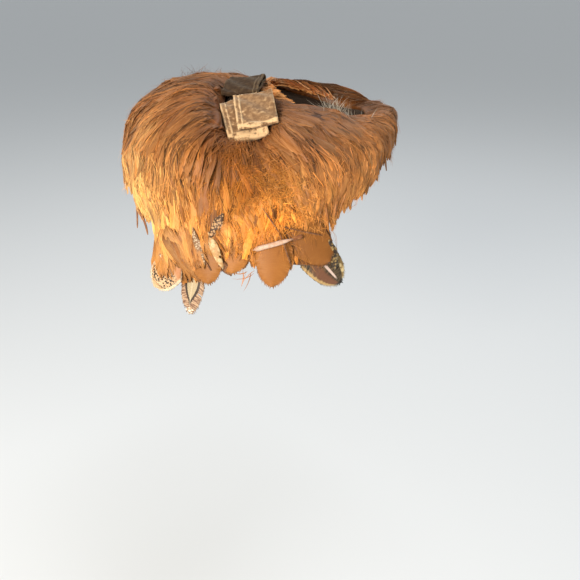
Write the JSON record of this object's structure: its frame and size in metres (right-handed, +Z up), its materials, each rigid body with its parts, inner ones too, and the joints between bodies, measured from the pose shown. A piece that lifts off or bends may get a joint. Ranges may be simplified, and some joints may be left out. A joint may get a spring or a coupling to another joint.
{
  "type": "feather fascinator",
  "caption": "Small open-crowned feather hat in dyed orange hackles over a stiffened cap, with flat and pheasant edge feathers and a folded velvet bow.",
  "frame": {"origin": "on the underside of the cap at the top of the wearer's head", "axes": "+X towards the face, +Y towards the wearer's left ear, +Z up"},
  "size_m": [0.151, 0.1674, 0.1059],
  "materials": {
    "cap_cloth": "dark brown stiffened millinery cloth",
    "orange_hackle": "silky cinnamon-orange dyed hackle feathers",
    "flat_feather": "smooth orange dyed body feathers",
    "spotted_feather": "cream and gold feather with black specks",
    "striped_feather": "cream-centred feather with a dark brown border",
    "dark_feather": "dark brown feather with a gold edge",
    "velvet_ribbon": "crushed gold-brown velvet ribbon"
  },
  "bodies": {
    "root": {"cap": "cap_cloth", "back_lobe": "orange_hackle", "front_lobe": "orange_hackle", "side_panel_right": "orange_hackle", "side_panel_left": "orange_hackle", "flat_feather_1_right": "flat_feather", "flat_feather_1_left": "flat_feather", "flat_feather_2_right": "flat_feather", "flat_feather_2_left": "flat_feather", "flat_feather_3_right": "flat_feather", "flat_feather_3_left": "flat_feather", "flat_feather_4_right": "flat_feather", "flat_feather_4_left": "flat_feather", "pheasant_rear": "spotted_feather", "pheasant_hanging": "striped_feather", "pheasant_front": "dark_feather", "bow_loop_lower": "velvet_ribbon", "bow_loop_upper": "velvet_ribbon", "bow_loop_far": "velvet_ribbon"}
  },
  "joints": []
}
